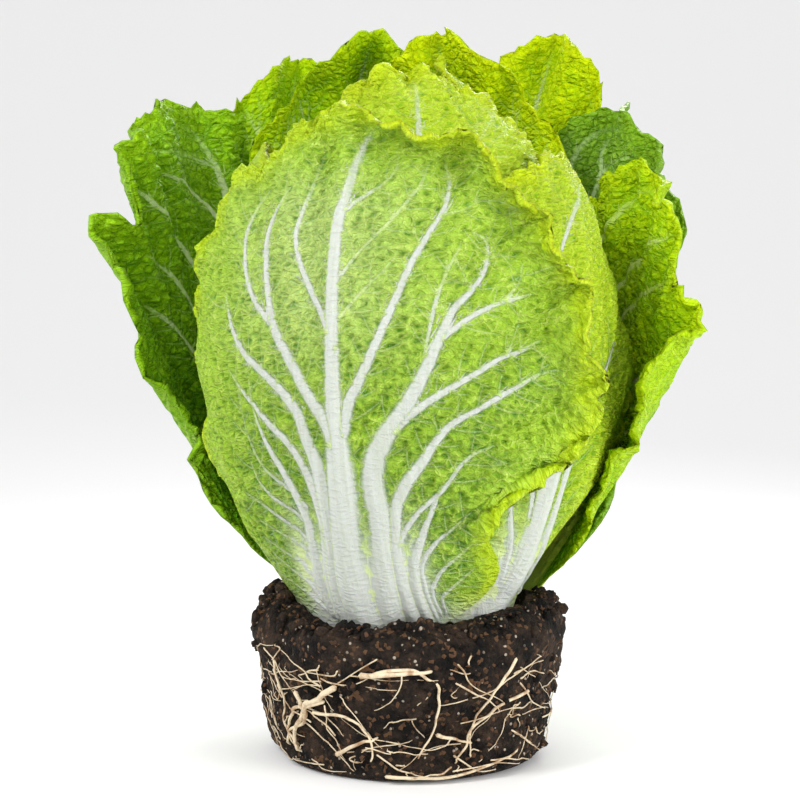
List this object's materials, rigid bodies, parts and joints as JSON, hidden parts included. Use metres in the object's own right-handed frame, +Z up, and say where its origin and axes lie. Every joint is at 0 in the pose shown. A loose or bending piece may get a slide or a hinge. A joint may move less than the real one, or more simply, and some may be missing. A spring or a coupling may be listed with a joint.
{
  "type": "napa cabbage",
  "caption": "Whole napa cabbage lifted with its root ball: a dense head of ribbed, wavy leaves with open outer leaves, standing on a lumpy ball of soil with roots.",
  "frame": {"origin": "middle of the flat underside of the soil ball", "axes": "+Z up along the head's axis, -Y towards the front, where the wrapper leaf's midrib is, +X to the right as seen from the front"},
  "size_m": [0.3262, 0.304, 0.4259],
  "materials": {
    "soil": "matte",
    "root": "matte",
    "heart": "satin",
    "head_leaf": "satin",
    "open_leaf": "satin"
  },
  "bodies": {
    "root": {"soil_ball": "soil", "roots": "root", "heart": "heart", "leaf_front": "head_leaf", "leaf_right": "head_leaf", "leaf_left": "head_leaf", "leaf_inner_front": "head_leaf", "leaf_inner_right": "head_leaf", "leaf_inner_left": "head_leaf", "leaf_right_back": "head_leaf", "leaf_back_left": "head_leaf", "leaf_back_right": "head_leaf", "leaf_open_left": "open_leaf", "leaf_open_back_left": "open_leaf", "leaf_open_back_right": "open_leaf", "leaf_open_right_high": "open_leaf", "leaf_open_right_low": "open_leaf"}
  },
  "joints": []
}
